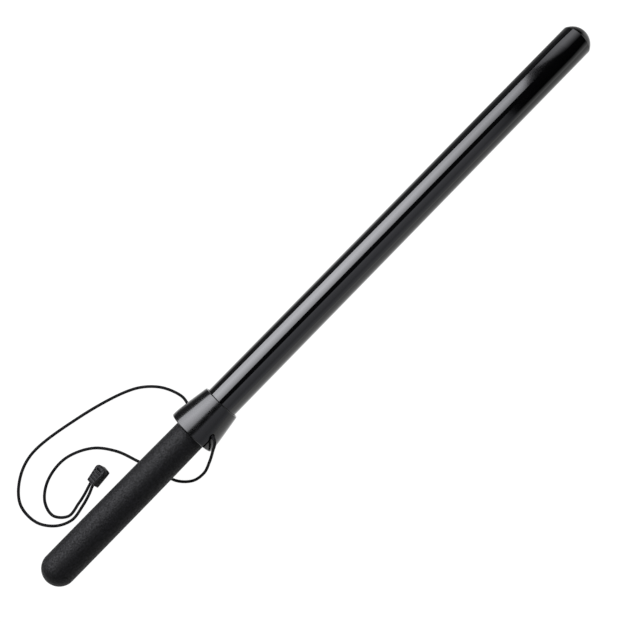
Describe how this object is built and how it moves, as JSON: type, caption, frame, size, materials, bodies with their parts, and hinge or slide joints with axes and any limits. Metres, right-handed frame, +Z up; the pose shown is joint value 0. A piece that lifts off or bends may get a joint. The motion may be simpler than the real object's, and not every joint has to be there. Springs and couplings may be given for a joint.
{
  "type": "straight baton with wrist cord",
  "caption": "Straight black baton with a domed tip, a conical hand guard, a textured rubber grip and a thin elastic wrist cord that ends in a ribbed clip.",
  "frame": {"origin": "middle of the baton's footprint, on the surface it lies on", "axes": "+X from the butt to the tip, +Z up, +Y to the side where the wrist cord's larger loop lies"},
  "size_m": [0.61, 0.1115, 0.0416],
  "materials": {
    "shaft_plastic": "gloss",
    "guard_plastic": "satin",
    "core_plastic": "satin",
    "grip_rubber": "matte, fine texture",
    "cord_elastic": "braided",
    "clip_plastic": "satin"
  },
  "bodies": {
    "baton": {"shaft_tube": "shaft_plastic", "tip_cap": "shaft_plastic", "handle_core": "core_plastic", "guard": "guard_plastic", "grip_sleeve": "grip_rubber", "wrist_cord": "cord_elastic", "cord_end_shell": "clip_plastic", "cord_knot": "cord_elastic"},
    "cord_end_cover": {"cord_end_lid": "clip_plastic"}
  },
  "joints": [
    {"name": "cord_end_lid_hinge", "type": "hinge", "parent": "baton", "child": "cord_end_cover", "pos_m": [-0.21794, 0.0309, 0.00672], "axis": [-0.0699, 0.7398, -0.6691], "range_deg": [0, 110]}
  ]
}
